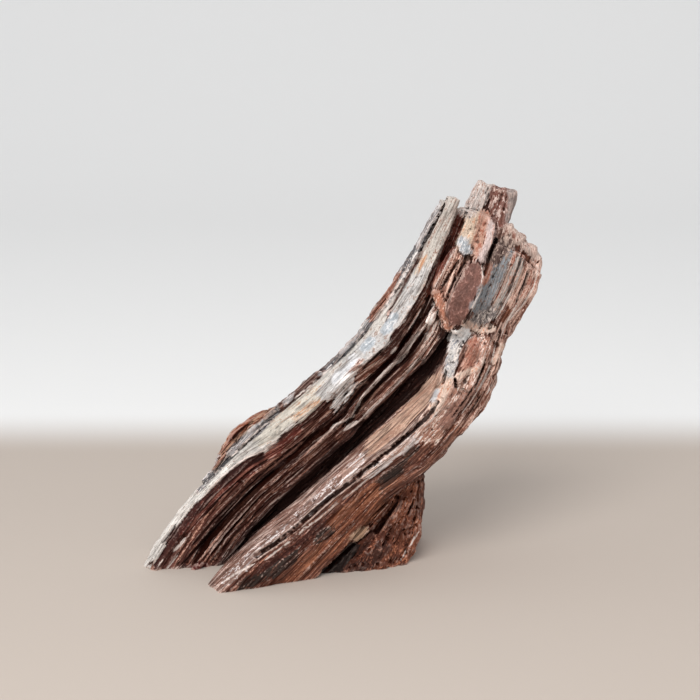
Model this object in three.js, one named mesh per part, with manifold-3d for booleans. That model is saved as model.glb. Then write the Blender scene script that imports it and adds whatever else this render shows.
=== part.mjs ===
// A wood stone: one layered, fluted rock that looks like weathered timber and leans on three feet.
// It is built as bent bundles of thin sheets that run from the feet to the broken top, fused in one solid.
// Millimetres, +Z up. The deeply grooved face looks along -Y.
import * as THREE from "three";
import { mergeVertices } from "three/addons/utils/BufferGeometryUtils.js";
import Module from "manifold-3d";

const wasm = await Module();
wasm.setup();

// The bundles are laid out as they are seen: "across" and "up" are measured on a plane square to the
// line of sight, and "depth" is the true distance behind the upright plane through the stone's middle.
const EYE_DISTANCE = 970;
const EYE_TILT = THREE.MathUtils.degToRad(15);
const SIGHT_UP = 121;
const SIGHT_HEIGHT = 116;

// Size of the block that is cut away under the feet.
const GROUND_SIZE = 600;

// Each sheet is this much thicker than its share of its bundle, so that neighbours fuse.
const SHEET_LAP = 0.5;

// Distance between the sections of a sheet, along the grain.
const STEP_LENGTH = 17;

// A sheet's back corners are set in by this much, and the middle of its ragged top stands out by
// this share of the bundle's raggedness.
const BACK_ROUNDING = 1.5;
const TOP_ROUNDING = 0.2;

// A sheet's front swells by this share of its thickness, and by no more than FRONT_SWELL_MOST.
const FRONT_SWELL = 0.25;
const FRONT_SWELL_MOST = 0.5;

// Each bundle draws its own repeatable random numbers.
const FIRST_SEED = 1000;
const SEED_STEP = 77;

const sight = new THREE.Vector3(0, Math.cos(EYE_TILT), -Math.sin(EYE_TILT));
const sightUp = new THREE.Vector3(0, Math.sin(EYE_TILT), Math.cos(EYE_TILT));
const eye = new THREE.Vector3(0, 0, SIGHT_HEIGHT).addScaledVector(sight, -EYE_DISTANCE);

// The point that is seen at (across, up) and lies at the given depth.
function place(across, up, depth) {
  const ray = sight.clone().multiplyScalar(EYE_DISTANCE);
  ray.x += across;
  ray.addScaledVector(sightUp, up - SIGHT_UP);
  return eye.clone().addScaledVector(ray, (depth - eye.y) / ray.y);
}

// A repeatable random number from 0 to 1.
function randomFrom(seed) {
  let state = seed;
  return () => {
    state = (state + 0x6d2b79f5) | 0;
    let mixed = Math.imul(state ^ (state >>> 15), 1 | state);
    mixed = (mixed + Math.imul(mixed ^ (mixed >>> 7), 61 | mixed)) ^ mixed;
    return ((mixed ^ (mixed >>> 14)) >>> 0) / 4294967296;
  };
}

// A bundle's line runs from its foot to its top. Each station is
// [across, up, half width, front at the upper edge, front at the lower edge, back at both edges].
// sheets: how many. jag: how far their fronts stand in or out. bevel: how far a sheet's upper front
// corner is set back. ragged: how far their ends differ. slant: how much further the top reaches at
// the upper edge than in the middle.
const BUNDLES = {
  greyRind: {
    sheets: 1, jag: 0.8, bevel: 0.6, ragged: 0, slant: 0,
    line: [
      [-73.5, 55, 1.4, 7, 6, 16], [-64, 65.5, 2.2, 7, 6, 22], [-50, 77, 2.2, 8, 6, 26],
      [-35, 92, 2.0, 8, 6, 28], [-23.5, 102, 2.0, 8, 6, 30], [-10, 114, 2.1, 8, 6, 30],
      [0, 123.5, 2.3, 8, 6, 30], [12, 137.5, 2.4, 8, 6, 30], [23.5, 154.5, 2.4, 8, 6, 28],
      [33, 170, 2.2, 8, 6, 24], [40.5, 185, 2.0, 8, 6, 20], [46.5, 196, 1.3, 8, 6, 14],
    ],
  },
  rustyFlake: {
    sheets: 2, jag: 0.8, bevel: 0.4, ragged: 2, slant: 0,
    line: [
      [-67, 64, 1.4, 14, 12, 24], [-60, 73, 3.0, 14, 12, 32], [-50, 82, 3.2, 15, 12, 34],
      [-40, 89, 2.2, 17, 14, 30],
    ],
  },
  crust: {
    sheets: 2, jag: 0.7, bevel: 0, ragged: 0, slant: 0,
    line: [
      [-110, -8, 2.4, 0, -5, 24], [-100, 15, 2.4, 2, -5, 26], [-87.5, 34, 2.3, 4, -4, 28],
      [-77.5, 47, 2.3, 4, -4, 28], [-68.5, 55, 2.4, 4, -5, 28], [-58.5, 65.5, 2.6, 4, -6, 28],
      [-46.5, 73, 3.6, 4, -8, 28], [-29.5, 88, 4.9, 4, -9, 28], [-18, 97.5, 5.0, 4, -10, 28],
      [-5, 110, 4.6, 4, -10, 28], [5.5, 119.5, 5.0, 4, -10, 28], [18, 132.5, 5.6, 4, -10, 26],
      [30, 150, 5.6, 4, -9, 24], [38, 166.5, 4.6, 4, -7, 22], [46, 182.5, 4.4, 4, -5, 18],
      [51.7, 197, 3.2, 4, -3, 14],
    ],
  },
  upperWall: {
    sheets: 4, jag: 1.6, bevel: 1.0, ragged: 3, slant: 0,
    line: [
      [-97, -4, 9, -6, -4, 24], [-88.5, 12.5, 9, -5, 1, 28], [-77, 29.5, 9.2, -4, 4, 28],
      [-67, 42, 9.4, -4, 5, 28], [-47, 61.5, 8.6, -6, 5, 30], [-30, 73.5, 7.2, -8, 4, 30],
      [-10.5, 89, 7.4, -9, 3, 30], [1.5, 103.5, 6.9, -9, 3, 30], [20.5, 119, 5.4, -9, 3, 30],
      [35, 140, 4.6, -7, 4, 30], [47, 164, 4.6, -2, 6, 28], [53.5, 182, 4.4, 1, 7, 24],
      [57.5, 193, 3.6, 2, 8, 20],
    ],
  },
  lowerWall: {
    sheets: 3, jag: 1.5, bevel: 1.6, ragged: 4, slant: 0,
    line: [
      [-82, -6, 6.2, -6, -4, 28], [-74.5, 8, 6.2, -4, 2, 28], [-63, 24, 6.2, -2, 7, 28],
      [-54, 34.5, 6.0, -1, 8, 28], [-35, 54, 5.6, -3, 7, 30], [-21, 66.5, 5.6, -5, 6, 30],
      [-2, 82, 5.4, -7, 5, 30], [10, 95.5, 5.8, -7, 5, 30], [28, 113.5, 6.2, -7, 5, 30],
      [42, 132, 7.0, -6, 4, 30], [52, 146, 6.0, -2, 4, 30],
    ],
  },
  core: {
    sheets: 5, jag: 2.0, bevel: 0.8, ragged: 6, slant: 0,
    line: [
      [-68, -8, 22, 6, 8, 34], [-36, 40, 26, 18, 18, 38], [-5, 74, 29, 18, 16, 42],
      [22, 106, 28, 17, 14, 43], [46, 136, 26, 14, 10, 43], [62, 160, 22, 12, 8, 40],
      [70, 176, 15, 13, 9, 36],
    ],
  },
  ridgeUpper: {
    sheets: 2, jag: 0.5, bevel: 0.8, ragged: 1, slant: 0,
    line: [
      [-78, -10, 3.4, -26, -34, 10], [-67, 3, 3.8, -24, -34, 14], [-52.5, 18, 4.6, -19, -31, 20],
      [-35, 32.5, 5.8, -13, -28, 22], [-21, 43, 5.6, -10, -26, 24], [3.5, 65, 5.4, -8, -23, 24],
      [22.5, 81, 6.6, -7, -22, 24], [34, 91, 6.4, -7, -21, 24], [42, 101, 4.8, -7, -18, 24],
      [46.5, 113, 2.6, -6, -13, 24],
    ],
  },
  ridgeLower: {
    sheets: 3, jag: 0.9, bevel: 0.9, ragged: 2, slant: 0,
    line: [
      [-63, -14, 12.0, -36, -26, 16], [-44, 5, 11.6, -35, -20, 20], [-21, 19.5, 12.6, -31, -14, 22],
      [-3.5, 38.5, 10.6, -28, -9, 24], [13.5, 54.5, 10.0, -26, -7, 26], [32, 68, 9.8, -25, -6, 28],
      [43.5, 79, 9.6, -24, -5, 28], [54, 92, 9.6, -21, -4, 30], [60, 102, 9.0, -17, -4, 30],
    ],
  },
  knottySide: {
    sheets: 4, jag: 1.8, bevel: 1.0, ragged: 5, slant: 0,
    line: [
      [52, 84, 6, -16, -2, 26], [60, 97, 9.0, -17, -3, 30], [66.5, 111, 9.4, -15, -4, 32],
      [68.5, 121, 8.0, -12, -4, 34], [73, 134, 8, -6, -2, 34],
    ],
  },
  greyKnob: {
    sheets: 1, jag: 0.4, bevel: 1.6, ragged: 0, slant: 0,
    line: [
      [43.5, 92, 3.6, -17, -19, 20], [47, 101, 4.4, -18, -20, 20], [52, 113, 5.4, -19, -20, 20],
      [54.5, 122, 5.6, -13, -14, 20], [57, 129.5, 5.4, -4, -6, 20],
    ],
  },
  orangeKnob: {
    sheets: 2, jag: 0.8, bevel: 1.2, ragged: 2, slant: -1.5,
    line: [
      [55.5, 101, 5.0, -20, -16, 22], [60, 112, 5.0, -20, -16, 22], [63, 121, 5.2, -16, -12, 22],
      [65.5, 129, 5.0, -9, -7, 22],
    ],
  },
  tongue: {
    sheets: 1, jag: 0.2, bevel: 1.0, ragged: 0, slant: 0,
    line: [
      [53, 129.5, 1.6, -14, -14, 16], [52, 134, 3.6, -17, -17, 16], [53.5, 139, 5.4, -19, -18, 18],
      [56.5, 146, 6.8, -20, -18, 18], [59.5, 153.5, 6.8, -19, -16, 18], [62, 162.5, 5.2, -15, -11, 18],
    ],
  },
  tongueFlank: {
    sheets: 4, jag: 1.2, bevel: 1.2, ragged: 2, slant: 2.5,
    line: [
      [48.5, 131, 1.4, -8, -12, 16], [46.5, 142, 2.8, -9, -13, 16], [45.5, 150, 4.8, -9, -14, 16],
      [49, 159, 5.8, -8, -13, 18], [54.5, 169, 5.0, -6, -12, 18],
    ],
  },
  creamBlock: {
    sheets: 2, jag: 0.3, bevel: 0.8, ragged: 1, slant: 0.5,
    line: [
      [57.5, 163, 7.0, -10, -12, 18], [62, 175, 8.4, -11, -9, 22], [66.3, 189, 7.2, -9, -5, 22],
    ],
  },
  blueFace: {
    sheets: 3, jag: 0.8, bevel: 0.3, ragged: 2, slant: 2.5,
    line: [
      [59.5, 124, 6.8, -8, -6, 34], [63, 133, 8.2, -8, -3, 34], [70, 146, 9.4, -3, 1, 38],
      [75.5, 159, 10.0, -1, 2, 40], [80, 173, 9.6, 1, 3, 38],
    ],
  },
  rightRidges: {
    sheets: 4, jag: 1.5, bevel: 1.0, ragged: 2, slant: 3,
    line: [
      [71, 122, 4.6, -9, -2, 34], [78.5, 136, 5.6, -8, 0, 36], [86, 149, 6.2, -7, 3, 36],
      [91, 163, 5.6, -6, 6, 32],
    ],
  },
  shoulder: {
    sheets: 4, jag: 1.4, bevel: 0.6, ragged: 2, slant: 5,
    line: [
      [76, 152, 14, 10, 12, 40], [83, 166, 13, 9, 12, 40], [86, 176.5, 9.5, 9, 12, 36],
    ],
  },
  backColumn: {
    sheets: 3, jag: 1.0, bevel: 0.6, ragged: 2, slant: 0.5,
    line: [
      [60, 166, 12, 14, 12, 34], [66, 184, 12, 14, 12, 36], [73.5, 203.5, 9.6, 16, 14, 34],
    ],
  },
  footLump: {
    sheets: 6, jag: 2.2, bevel: 1.0, ragged: 1, slant: 0,
    line: [
      [2, -10, 25, -10, -2, 44], [6, 0, 25, -10, -1, 46], [16.5, 23.5, 19.5, -7, 3, 46],
      [25, 40, 12, -2, 6, 42], [29, 52, 6.8, 0, 6, 38], [32, 63, 4.4, 2, 6, 34],
    ],
  },
  backRidgeHigh: {
    sheets: 3, jag: 1.6, bevel: 0, ragged: 8, slant: 0,
    line: [
      [-98, -6, 8, 20, 20, 38], [-74, 28, 9, 20, 20, 42], [-44, 62, 9, 20, 20, 46],
      [-12, 92, 9, 20, 20, 47], [14, 122, 8, 20, 20, 45], [32, 150, 7, 20, 20, 40],
      [42, 170, 6, 18, 18, 34],
    ],
  },
  backRidgeLow: {
    sheets: 4, jag: 1.8, bevel: 0, ragged: 9, slant: 0,
    line: [
      [-40, 26, 10, 20, 18, 42], [-14, 52, 13, 20, 18, 48], [16, 82, 14, 20, 18, 50],
      [44, 112, 13, 20, 18, 50], [66, 140, 12, 20, 18, 46], [80, 160, 9, 20, 18, 40],
    ],
  },
};

// Points of a bundle's line, at even steps along a smooth curve through its stations.
function stationsOf(line) {
  const curve = new THREE.CatmullRomCurve3(line.map(([x, y]) => new THREE.Vector3(x, y, 0)));
  const lengths = curve.getLengths(line.length * 12);
  const steps = Math.max(4, Math.round(lengths.at(-1) / STEP_LENGTH));
  const spots = [];
  for (let i = 0; i <= steps; i++) {
    const t = curve.getUtoTmapping(i / steps);
    const at = t * (line.length - 1);
    const low = Math.min(Math.floor(at), line.length - 2);
    const mix = at - low;
    const between = (k) => line[low][k] * (1 - mix) + line[low + 1][k] * mix;
    const point = curve.getPoint(t);
    const along = curve.getTangent(t);
    spots.push({
      across: point.x, up: point.y, sideX: -along.y, sideY: along.x, alongX: along.x, alongY: along.y,
      half: between(2), frontUpper: between(3), frontLower: between(4), back: between(5),
    });
  }
  return spots;
}

// One sheet of a bundle as a closed mesh with a six-sided section at each station.
function sheetOf(bundle, spots, index, random) {
  const share = 1 / bundle.sheets;
  const frontStep = (random() - 0.5) * 2 * bundle.jag;
  const backStep = (random() - 0.5) * 2 * bundle.jag;
  const startShift = random() * bundle.ragged;
  const endShift = random() * bundle.ragged;
  const wobble = spots.map(() => (random() - 0.5) * bundle.jag);
  const last = spots.length - 1;
  const positions = [];
  spots.forEach((spot, i) => {
    const shift = i === 0 ? startShift : i === last ? -endShift : 0;
    const lap = bundle.sheets > 1 ? SHEET_LAP : 0;
    const highSide = spot.half * (1 - 2 * index * share) + (index > 0 ? lap : 0);
    const lowSide = spot.half * (1 - 2 * (index + 1) * share);
    const corner = (side, depth, lengthways = 0) => {
      const slant = i === last ? bundle.slant * side / spot.half : 0;
      const reach = shift + slant + lengthways;
      const across = spot.across + spot.sideX * side + spot.alongX * reach;
      const up = spot.up + spot.sideY * side + spot.alongY * reach;
      positions.push(...place(across, up, depth).toArray());
    };
    const front = (side) => {
      const mix = (spot.half - side) / (2 * spot.half);
      return spot.frontUpper * (1 - mix) + spot.frontLower * mix + frontStep + wobble[i];
    };
    const back = spot.back + backStep + wobble[last - i];
    const middle = (highSide + lowSide) / 2;
    const swell = Math.min(FRONT_SWELL_MOST, FRONT_SWELL * (highSide - lowSide));
    const tilt = i === last ? bundle.ragged * TOP_ROUNDING : 0;
    corner(highSide, front(highSide) + bundle.bevel);
    corner(middle, front(middle) - swell, tilt);
    corner(lowSide, front(lowSide));
    corner(lowSide, back - BACK_ROUNDING);
    corner(middle, back, tilt);
    corner(highSide, back - BACK_ROUNDING);
  });
  const indices = [];
  const SIDES = 6;
  for (let i = 0; i < last; i++) {
    for (let k = 0; k < SIDES; k++) {
      const a = i * SIDES + k;
      const b = i * SIDES + ((k + 1) % SIDES);
      indices.push(a, b, a + SIDES, b, b + SIDES, a + SIDES);
    }
  }
  for (let k = 1; k < SIDES - 1; k++) {
    indices.push(0, k + 1, k);
    const top = last * SIDES;
    indices.push(top, top + k, top + k + 1);
  }
  return solidFrom(new Float32Array(positions), new Uint32Array(indices));
}

function solidFrom(vertProperties, triVerts) {
  return new wasm.Manifold(new wasm.Mesh({ numProp: 3, vertProperties, triVerts }));
}

// A three.js geometry as a solid.
function solidOf(geometry) {
  const bare = geometry.clone();
  bare.deleteAttribute("normal");
  bare.deleteAttribute("uv");
  const merged = mergeVertices(bare, 1e-4);
  return solidFrom(merged.attributes.position.array, new Uint32Array(merged.index.array));
}

function allSheets() {
  const sheets = [];
  Object.values(BUNDLES).forEach((bundle, number) => {
    const random = randomFrom(FIRST_SEED + number * SEED_STEP);
    const spots = stationsOf(bundle.line);
    for (let index = 0; index < bundle.sheets; index++) {
      sheets.push(sheetOf(bundle, spots, index, random));
    }
  });
  return sheets;
}

function ground() {
  const block = new THREE.BoxGeometry(GROUND_SIZE, GROUND_SIZE, GROUND_SIZE);
  return solidOf(block.translate(0, 0, -GROUND_SIZE / 2));
}

function stone() {
  const whole = allSheets().reduce((sum, sheet) => sum.add(sheet)).subtract(ground());
  const pieces = whole.decompose().sort((a, b) => b.volume() - a.volume());
  return pieces[0];
}

function geometryOf(solid) {
  const mesh = solid.getMesh();
  const geometry = new THREE.BufferGeometry();
  geometry.setAttribute("position", new THREE.BufferAttribute(mesh.vertProperties, 3));
  geometry.setIndex(new THREE.BufferAttribute(mesh.triVerts, 1));
  geometry.computeVertexNormals();
  geometry.computeBoundingBox();
  return geometry;
}

const rock = new THREE.MeshStandardMaterial({ color: 0x7a4a38, roughness: 0.7, metalness: 0 });
const woodStone = new THREE.Mesh(geometryOf(stone()), rock);
woodStone.name = "wood_stone";

// The origin is the bottom centre of the stone's box.
const box = woodStone.geometry.boundingBox;
woodStone.position.set(-(box.min.x + box.max.x) / 2, -(box.min.y + box.max.y) / 2, -box.min.z);

const model = new THREE.Group();
model.add(woodStone);
export default model;
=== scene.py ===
import math

import bmesh
import bpy
import numpy as np
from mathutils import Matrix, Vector


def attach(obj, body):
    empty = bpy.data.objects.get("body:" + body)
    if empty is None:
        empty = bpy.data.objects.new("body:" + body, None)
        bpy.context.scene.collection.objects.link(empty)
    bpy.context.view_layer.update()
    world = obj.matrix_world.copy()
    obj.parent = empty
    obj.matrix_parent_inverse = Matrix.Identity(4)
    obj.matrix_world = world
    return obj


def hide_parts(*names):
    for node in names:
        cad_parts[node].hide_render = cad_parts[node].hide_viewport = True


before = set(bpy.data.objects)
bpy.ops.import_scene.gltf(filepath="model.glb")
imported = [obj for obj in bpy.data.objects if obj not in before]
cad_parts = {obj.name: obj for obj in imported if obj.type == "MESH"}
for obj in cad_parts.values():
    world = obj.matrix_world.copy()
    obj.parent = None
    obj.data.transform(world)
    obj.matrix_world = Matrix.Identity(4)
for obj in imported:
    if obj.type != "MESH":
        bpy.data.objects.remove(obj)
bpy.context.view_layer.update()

MM = 0.001

# The eye that the stone is laid out for, in millimetres.
EYE_DISTANCE = 970.0
EYE_TILT = math.radians(15)
SIGHT_UP = 121.0
SIGHT_HEIGHT = 116.0
LAYOUT_SHIFT = np.array((4.35, -8.145, 0.0))
SENSOR_WIDTH = 36.0

SIGHT = np.array((0.0, math.cos(EYE_TILT), -math.sin(EYE_TILT)))
SIGHT_UPWARDS = np.array((0.0, math.sin(EYE_TILT), math.cos(EYE_TILT)))
TARGET = LAYOUT_SHIFT + np.array((0.0, 0.0, SIGHT_HEIGHT))
EYE = TARGET - SIGHT * EYE_DISTANCE

# The picture plane stands square to the sight, and is measured in pixels of the photo.
PIXEL = 0.5
PICTURE_MIDDLE = 350
PICTURE_FOOT = 592

# The surface mesh: the size of its cells, its most triangles, the shortest edge that is kept, and the
# angle past which an edge is shaded sharp. Lengths are in millimetres.
VOXEL = 0.45
MOST_TRIANGLES = 192000
SHORTEST_EDGE = 0.002
SHARP_ANGLE = math.radians(38)

# The flat feet, in millimetres: what lies under the first height stays, the relief is full from the
# second, and what is worn down between them stays above the third.
FLAT_FOOT = 0.4
FOOT_FADE = 3.0
LEAST_HEIGHT = 0.05

# Rounds of smoothing: for the directions that the relief is set in along, for the solid's edges and for
# its broken ends, and for the near and far surfaces that worn crests and hollows are measured from.
NORMAL_ROUNDS = 5
EDGE_ROUNDS = 16
END_ROUNDS = 50
NEAR_ROUNDS = 8
FAR_ROUNDS = 68

# How far the relief is moved out of the solid, and the most that it may stand out, in millimetres.
PROUD = 1.0
MOST_PROUD = 1.6

# The layer that each guide stands for, as a distance in millimetres across the layers, and the line on
# the picture plane that the grain follows there, from foot to top.
GRAIN_GUIDES = [
    (0.0, [(144, 561), (170, 524), (199, 485), (245, 432), (300, 388), (345, 346), (384, 295),
           (404, 267), (424, 225), (445, 196)]),
    (9.0, [(157, 560), (180, 524), (200, 498), (242, 458), (280, 437), (318, 405), (345, 375),
           (385, 347), (400, 325), (425, 285), (445, 240), (460, 206)]),
    (30.0, [(210, 578), (235, 545), (270, 505), (310, 470), (345, 437), (385, 400), (424, 360),
            (440, 335), (452, 300), (466, 262), (485, 205)]),
    (40.0, [(208, 583), (245, 545), (300, 501), (350, 455), (390, 418), (431, 380), (447, 350),
            (470, 320), (487, 270), (500, 215)]),
    (52.0, [(222, 592), (250, 563), (270, 546), (310, 515), (350, 480), (400, 443), (437, 402),
            (455, 370), (480, 330), (500, 290), (515, 250), (520, 200)]),
    (74.0, [(318, 578), (345, 548), (388, 498), (425, 472), (448, 449), (480, 408), (500, 370),
            (510, 325), (535, 290), (544, 262), (548, 220)]),
]

# The same for the lump behind the front foot, and where it lies: below and left of these pixels.
LUMP_GUIDES = [
    (84.0, [(318, 574), (345, 532), (378, 504), (400, 482)]),
    (126.0, [(408, 592), (418, 560), (424, 524), (424, 490)]),
]
LUMP_ABOVE = 472
LUMP_RIGHT = 442

# How steeply the grain climbs, on the whole, in the stone and in its lump.
GRAIN_SLOPE = math.radians(50)
LUMP_SLOPE = math.radians(65)


def colour(red, green, blue):
    """A colour given as it looks on a screen, 0 to 255, made linear."""
    parts = np.array((red, green, blue)) / 255
    return np.where(parts <= 0.04045, parts / 12.92, ((parts + 0.055) / 1.055) ** 2.4)


# Finishes of the rock: base colour, colour of the streaks and specks in it, their share from 0 to 1,
# gloss from 0 to 1, strength of the lines along the grain, strength of the layering, and roughness of
# the relief.
FINISHES = {
    "crust": ((204, 198, 192), (138, 118, 108), 0.28, 0.15, 0.5, 0.35, 0.9),
    "crust_low": ((240, 234, 228), (154, 138, 128), 0.26, 0.15, 0.5, 0.3, 0.9),
    "crust_cream": ((207, 199, 188), (168, 136, 114), 0.3, 0.15, 0.6, 0.3, 0.9),
    "crust_white": ((200, 196, 194), (146, 128, 120), 0.28, 0.2, 0.5, 0.3, 1.0),
    "crust_blue": ((184, 190, 197), (210, 210, 212), 0.42, 0.2, 0.2, 0.2, 0.8),
    "crust_frost": ((232, 230, 232), (196, 198, 204), 0.4, 0.2, 0.3, 0.2, 0.8),
    "crust_top": ((196, 188, 180), (130, 102, 90), 0.3, 0.15, 0.5, 0.4, 0.8),
    "crust_rust": ((216, 195, 176), (178, 132, 102), 0.36, 0.15, 0.8, 0.4, 0.9),
    "lobe": ((250, 246, 244), (146, 112, 100), 0.3, 0.2, 0.6, 0.4, 0.9),
    "rind": ((100, 98, 102), (212, 206, 204), 0.42, 0.25, 0.6, 0.7, 1.8),
    "rind_dark": ((50, 50, 52), (110, 112, 114), 0.2, 0.4, 0.4, 0.3, 0.8),
    "rind_brown": ((78, 47, 39), (178, 148, 138), 0.2, 0.2, 0.8, 0.7, 1.6),
    "rind_pale": ((206, 200, 200), (112, 98, 96), 0.34, 0.2, 0.6, 0.5, 1.4),
    "rind_rust": ((148, 96, 78), (220, 196, 184), 0.3, 0.2, 0.8, 0.7, 1.6),
    "rust_flake": ((202, 156, 130), (124, 64, 40), 0.44, 0.15, 1.0, 1.2, 0.9),
    "wall_red": ((112, 51, 43), (170, 110, 95), 0.28, 0.5, 0.9, 0.9, 0.5),
    "wall_brown": ((148, 92, 74), (228, 196, 180), 0.36, 0.4, 1.0, 1.0, 0.5),
    "ledge": ((100, 54, 41), (174, 126, 108), 0.28, 0.5, 1.0, 0.8, 0.4),
    "foot_rust": ((96, 50, 35), (146, 100, 82), 0.34, 0.3, 0.8, 0.8, 0.5),
    "red_spot": ((84, 20, 15), (112, 46, 38), 0.3, 0.3, 0.3, 0.3, 0.5),
    "wall": ((104, 58, 46), (178, 134, 116), 0.26, 0.5, 1.0, 1.2, 0.5),
    "wall_wine": ((54, 19, 14), (86, 42, 34), 0.18, 0.2, 0.35, 1.0, 0.5),
    "wall_dark": ((50, 22, 16), (120, 76, 62), 0.18, 0.2, 0.8, 1.2, 0.5),
    "wall_pink": ((150, 102, 86), (222, 196, 184), 0.32, 0.5, 1.0, 1.2, 0.5),
    "wall_pale": ((210, 164, 148), (250, 236, 228), 0.4, 0.5, 0.9, 0.9, 0.5),
    "wall_streak": ((246, 230, 222), (252, 248, 244), 0.5, 0.5, 0.3, 0.3, 0.5),
    # The groove: dark brown, partly the wall's brown darkened with painted shade.
    "groove_shade": ((50, 24, 18), (96, 60, 50), 0.14, 0.1, 0.7, 0.6, 0.4),
    "ridge": ((136, 98, 85), (192, 166, 156), 0.28, 0.6, 0.9, 0.4, 0.4),
    "ridge_silver": ((138, 104, 92), (222, 213, 212), 0.34, 0.55, 0.5, 0.45, 1.1),
    "ridge_beige": ((206, 170, 150), (160, 122, 104), 0.35, 0.5, 0.8, 0.35, 0.3),
    "ridge_pale": ((206, 166, 150), (244, 236, 236), 0.42, 0.5, 0.7, 0.5, 0.6),
    "low_dark": ((78, 38, 30), (126, 76, 62), 0.24, 0.6, 0.8, 0.7, 0.5),
    "low_brown": ((100, 56, 43), (170, 118, 98), 0.24, 0.6, 0.9, 0.7, 0.5),
    "low_rust": ((122, 68, 46), (168, 110, 82), 0.26, 0.6, 0.9, 0.7, 0.5),
    "low_teal": ((50, 36, 31), (88, 54, 42), 0.34, 0.6, 0.9, 0.5, 0.5),
    "knot_red": ((204, 150, 130), (246, 228, 218), 0.4, 0.5, 0.5, 0.5, 1.5),
    "knot_top": ((254, 252, 250), (206, 202, 202), 0.3, 0.3, 0.2, 0.2, 1.2),
    "knot_white": ((226, 220, 216), (126, 128, 136), 0.4, 0.3, 0.2, 0.2, 1.3),
    "knot_grey": ((104, 100, 102), (214, 206, 200), 0.5, 0.3, 0.1, 0.2, 1.5),
    "knot_mottle": ((128, 118, 116), (206, 194, 186), 0.42, 0.3, 0.1, 0.2, 1.5),
    "knot_orange": ((186, 130, 110), (140, 76, 58), 0.38, 0.4, 0.4, 0.3, 1.0),
    "knot_cream": ((234, 208, 192), (196, 136, 108), 0.32, 0.3, 0.3, 0.2, 1.6),
    "knot_purple": ((178, 132, 116), (120, 88, 80), 0.4, 0.5, 0.5, 0.4, 0.8),
    "flank_pale": ((190, 150, 134), (146, 98, 82), 0.3, 0.4, 0.6, 0.6, 0.6),
    "tongue": ((120, 82, 73), (152, 112, 102), 0.25, 0.5, 0.2, 0.05, 0.3),
    "tongue_rim": ((208, 142, 116), (240, 212, 196), 0.36, 0.4, 0.2, 0.3, 0.9),
    "flank": ((150, 98, 82), (222, 182, 164), 0.36, 0.5, 1.0, 1.2, 0.6),
    "channel": ((128, 66, 52), (74, 36, 29), 0.38, 0.4, 0.8, 0.7, 0.6),
    "block_rust": ((188, 146, 128), (148, 94, 76), 0.36, 0.3, 0.1, 0.2, 1.3),
    "block_cream": ((220, 198, 178), (182, 136, 108), 0.32, 0.3, 0.15, 0.2, 1.2),
    "block_pink": ((214, 194, 190), (176, 138, 128), 0.3, 0.4, 0.15, 0.2, 0.9),
    "blue_face": ((158, 164, 170), (126, 108, 100), 0.38, 0.3, 0.4, 0.3, 0.8),
    "blue_pale": ((198, 190, 184), (152, 108, 92), 0.38, 0.3, 0.5, 0.4, 0.8),
    "speckled": ((102, 80, 74), (186, 164, 152), 0.4, 0.3, 0.1, 0.2, 1.2),
    "rust_stripe": ((214, 176, 158), (136, 72, 54), 0.42, 0.4, 0.6, 0.8, 0.6),
    "right_ridge": ((230, 194, 178), (148, 96, 80), 0.36, 0.4, 0.5, 0.5, 1.1),
    "right_low": ((126, 78, 62), (198, 160, 144), 0.3, 0.35, 0.8, 0.9, 1.0),
    "shoulder": ((220, 196, 184), (128, 88, 76), 0.4, 0.3, 0.3, 0.3, 1.4),
    "column_pale": ((226, 214, 208), (158, 126, 114), 0.36, 0.3, 0.4, 0.6, 1.1),
    "column_grey": ((164, 150, 146), (108, 78, 70), 0.34, 0.3, 0.3, 0.3, 1.1),
    "column_red": ((116, 72, 61), (196, 174, 166), 0.3, 0.4, 0.15, 0.3, 1.3),
    "lump": ((92, 46, 30), (158, 100, 74), 0.32, 0.15, 0.3, 0.35, 2.5),
    "lump_dark": ((66, 33, 23), (118, 72, 54), 0.3, 0.15, 0.4, 0.35, 2.0),
    "lump_rust": ((128, 72, 50), (180, 118, 90), 0.32, 0.3, 0.3, 0.35, 2.0),
    # The gap under the front ridge, left of the lump: dark brown darkened with painted shade.
    "recess_shade": ((26, 13, 9), (54, 34, 26), 0.2, 0.05, 0.5, 0.5, 1.2),
    "chip": ((202, 166, 138), (160, 118, 90), 0.3, 0.3, 0.5, 0.4, 0.6),
}
BASE, STREAK, SHARE, GLOSS, LINES, LAYERING, ROUGH = range(7)

# Colours of the rock's crests, its gaps, and its dark and pale fine lines.
# Crests: pale partly from wear and partly as a painted highlight.
CREST_WEAR_AND_HIGHLIGHT = colour(232, 206, 194)
# Gaps: the rock's dark joints, and painted shade in its valleys.
GAP_SHADE = colour(44, 18, 13)
# Dark fine lines: the rock's dark joints, and painted shade in crevices and under lips.
LINE_SHADE = colour(30, 12, 9)
# Pale fine lines: pale seams, and painted highlights along ledge tops and edges.
PALE_SHADE = colour(238, 222, 214)

# The floor, the backdrop and the light from all around.
FLOOR_SHADE = colour(185, 174, 165)
BACKDROP_SHADE = colour(235, 235, 235)
WORLD_STRENGTH = 0.80

# Finishes across the layers, for every side of the stone: where each is full, in millimetres.
BANDS = [
    (9.0, "wall_wine"), (15.0, "wall"),
    (20.0, "wall_dark"), (26.0, "wall"), (30.0, "wall_dark"), (33.0, "groove_shade"), (39.0, "groove_shade"),
    (41.0, "ridge"), (50.5, "ridge"), (53.0, "low_brown"), (60.0, "low_brown"), (66.0, "low_rust"),
    (74.0, "low_brown"), (84.0, "lump"), (126.0, "lump"),
]

# The crust covers the layers up to this distance, give or take its wobble, in millimetres. A patch's
# share falls from 1 to 0 over twice its edge, in pixels.
CRUST_LAYER = 8.8
CRUST_WOBBLE = 1.3
PATCH_EDGE = 3.0

# How far a patch's ends fray along the grain, in pixels, where its dark lines are at full strength.
FRAY = 13.0

# How far from a fine line its distance is still told, and over what length its ends thin out, in pixels.
LINE_REACH = 5.0
LINE_TAPER = 9.0

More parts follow.
